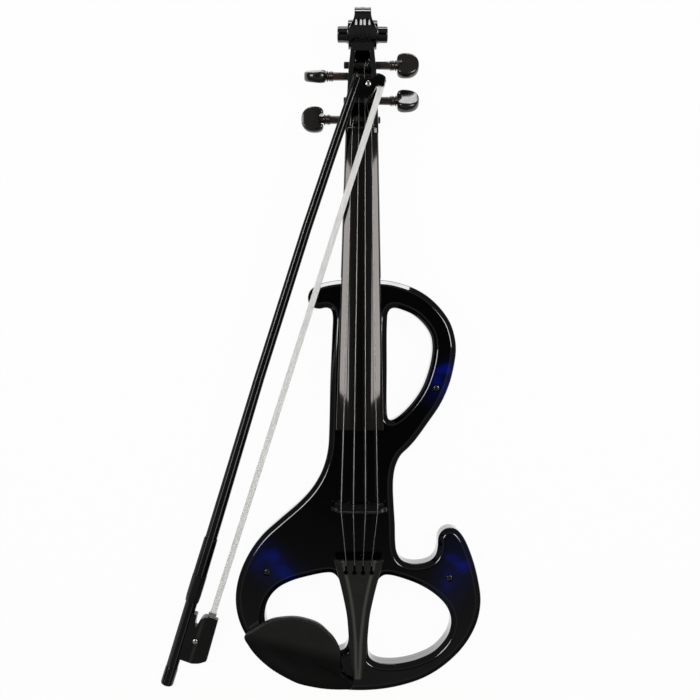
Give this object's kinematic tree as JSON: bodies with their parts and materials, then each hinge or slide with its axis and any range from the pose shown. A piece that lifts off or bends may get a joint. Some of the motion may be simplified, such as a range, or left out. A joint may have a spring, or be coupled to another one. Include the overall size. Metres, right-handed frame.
{
  "type": "electric violin",
  "caption": "Electric violin with an open moulded frame body, scroll, turning pegs, chin rest and tailpiece, with its bow lying across it.",
  "frame": {"origin": "on the plane of the back, under the middle of the bridge, on the line of the neck", "axes": "+Y from the chin end to the scroll, +X to the treble side, +Z out of the front towards the strings"},
  "size_m": [0.2828, 0.6009, 0.0571],
  "materials": {
    "gloss_body": "black high gloss with faint blue bursts",
    "satin_plastic": "black satin",
    "fingerboard": "black, smooth",
    "dark_fitting": "black brown satin",
    "steel": "plain steel",
    "brass": "plain brass",
    "hair": "white bow hair",
    "circuit": "green circuit board",
    "cell": "dark painted can",
    "rubber": "black"
  },
  "bodies": {
    "violin": {"front_shell": "gloss_body", "back_shell": "gloss_body", "neck": "gloss_body", "fingerboard": "fingerboard", "nut": "dark_fitting", "bridge": "satin_plastic", "piezo_pickup": "brass", "tailpiece": "satin_plastic", "chin_rest": "satin_plastic", "body_screw_1": "steel", "body_screw_2": "steel", "body_screw_3": "steel", "chin_rest_screw_1": "steel", "chin_rest_screw_2": "steel", "tailpiece_screw": "steel", "neck_bolt_1": "steel", "neck_bolt_2": "steel", "neck_bolt_3": "steel", "battery": "cell", "battery_snap": "rubber", "preamp_board": "circuit", "volume_pot": "steel", "power_switch": "satin_plastic", "line_jack": "steel", "jack_nut": "steel", "battery_lead": "rubber", "pickup_lead": "rubber", "jack_lead": "rubber", "string_g": "steel", "ball_end_g": "brass", "string_d": "steel", "ball_end_d": "brass", "string_a": "steel", "ball_end_a": "brass", "string_e": "steel", "ball_end_e": "brass"},
    "battery_door": {"battery_door": "gloss_body"},
    "volume_control": {"volume_shaft": "brass", "volume_knob": "satin_plastic"},
    "power_slider": {"power_slider": "satin_plastic"},
    "peg_g": {"peg_g": "dark_fitting", "winding_g": "steel"},
    "peg_d": {"peg_d": "dark_fitting", "winding_d": "steel"},
    "peg_a": {"peg_a": "dark_fitting", "winding_a": "steel"},
    "peg_e": {"peg_e": "dark_fitting", "winding_e": "steel"},
    "bow": {"bow_stick": "satin_plastic", "bow_grip": "rubber", "bow_lapping": "satin_plastic", "bow_head_screw": "steel"},
    "bow_screw": {"bow_screw": "satin_plastic"},
    "frog": {"bow_frog": "satin_plastic", "frog_screw": "steel", "bow_eyelet": "brass", "bow_ferrule": "steel", "bow_hair": "hair"}
  },
  "joints": [
    {"name": "peg_g_turn", "type": "hinge", "parent": "violin", "child": "peg_g", "pos_m": [0, 0.33758, 0.01953], "axis": [1, 0, 0], "continuous": true},
    {"name": "peg_d_turn", "type": "hinge", "parent": "violin", "child": "peg_d", "pos_m": [0, 0.37612, 0.01798], "axis": [1, 0, 0], "continuous": true},
    {"name": "peg_a_turn", "type": "hinge", "parent": "violin", "child": "peg_a", "pos_m": [0, 0.38617, 0.01736], "axis": [1, 0, 0], "continuous": true},
    {"name": "peg_e_turn", "type": "hinge", "parent": "violin", "child": "peg_e", "pos_m": [0, 0.35468, 0.01891], "axis": [1, 0, 0], "continuous": true},
    {"name": "volume_turn", "type": "hinge", "parent": "violin", "child": "volume_control", "pos_m": [0.01399, -0.026, 0.004], "axis": [0, 0, 1], "range_deg": [-140, 140]},
    {"name": "power_slide", "type": "slide", "parent": "violin", "child": "power_slider", "axis": [1, 0, 0], "range_m": [0, 0.003]},
    {"name": "battery_door_swing", "type": "hinge", "parent": "violin", "child": "battery_door", "pos_m": [0, 0.1345, 0.0018], "axis": [1, 0, 0], "range_deg": [0, 95]},
    {"name": "bow_lift", "type": "slide", "parent": "violin", "child": "bow", "axis": [0, 0, 1], "range_m": [0, 0.15]},
    {"name": "bow_screw_turn", "type": "hinge", "parent": "bow", "child": "bow_screw", "pos_m": [-0.1693, -0.1605, 0.0062], "axis": [0.2952, 0.9528, 0.0713], "range_deg": [0, 2880]},
    {"name": "frog_slide", "type": "slide", "parent": "bow", "child": "frog", "axis": [-0.2952, -0.9528, -0.0713], "range_m": [0, 0.0056]}
  ],
  "couplings": [
    {"joint": "bow_screw_turn", "follows": "frog_slide", "rad_per_m": 8976}
  ]
}
